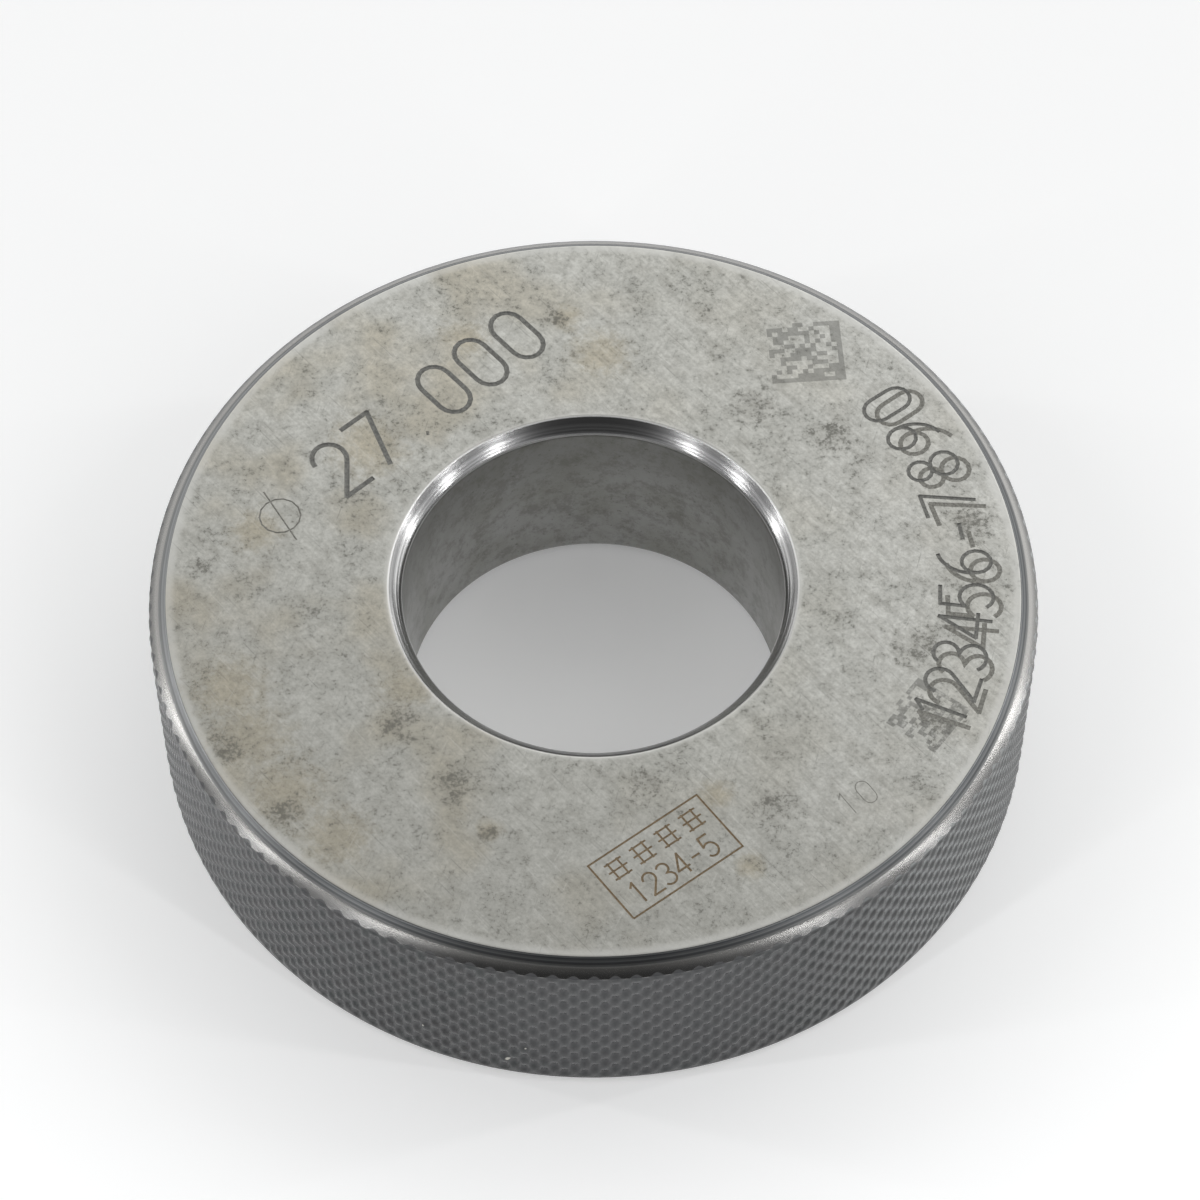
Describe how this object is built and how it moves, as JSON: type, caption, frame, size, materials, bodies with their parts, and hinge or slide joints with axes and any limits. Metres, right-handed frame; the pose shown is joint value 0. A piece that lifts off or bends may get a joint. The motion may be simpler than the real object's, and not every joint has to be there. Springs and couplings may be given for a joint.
{
  "type": "setting ring gauge",
  "caption": "Thick hardened steel setting ring with a lapped bore, ground flat faces, a chamfered and diamond-knurled rim, and worn engraved marks on one face.",
  "frame": {"origin": "centre of the underside, where the bore's axis meets the surface it stands on", "axes": "+Z along the bore's axis, from the underside to the marked face; -Y towards the viewer of the picture"},
  "size_m": [0.063, 0.063, 0.016],
  "materials": {
    "ground_steel": "ground and lapped hardened steel, stained with age, with a darkened knurled rim"
  },
  "bodies": {
    "root": {"ring_body": "ground_steel"}
  },
  "joints": []
}
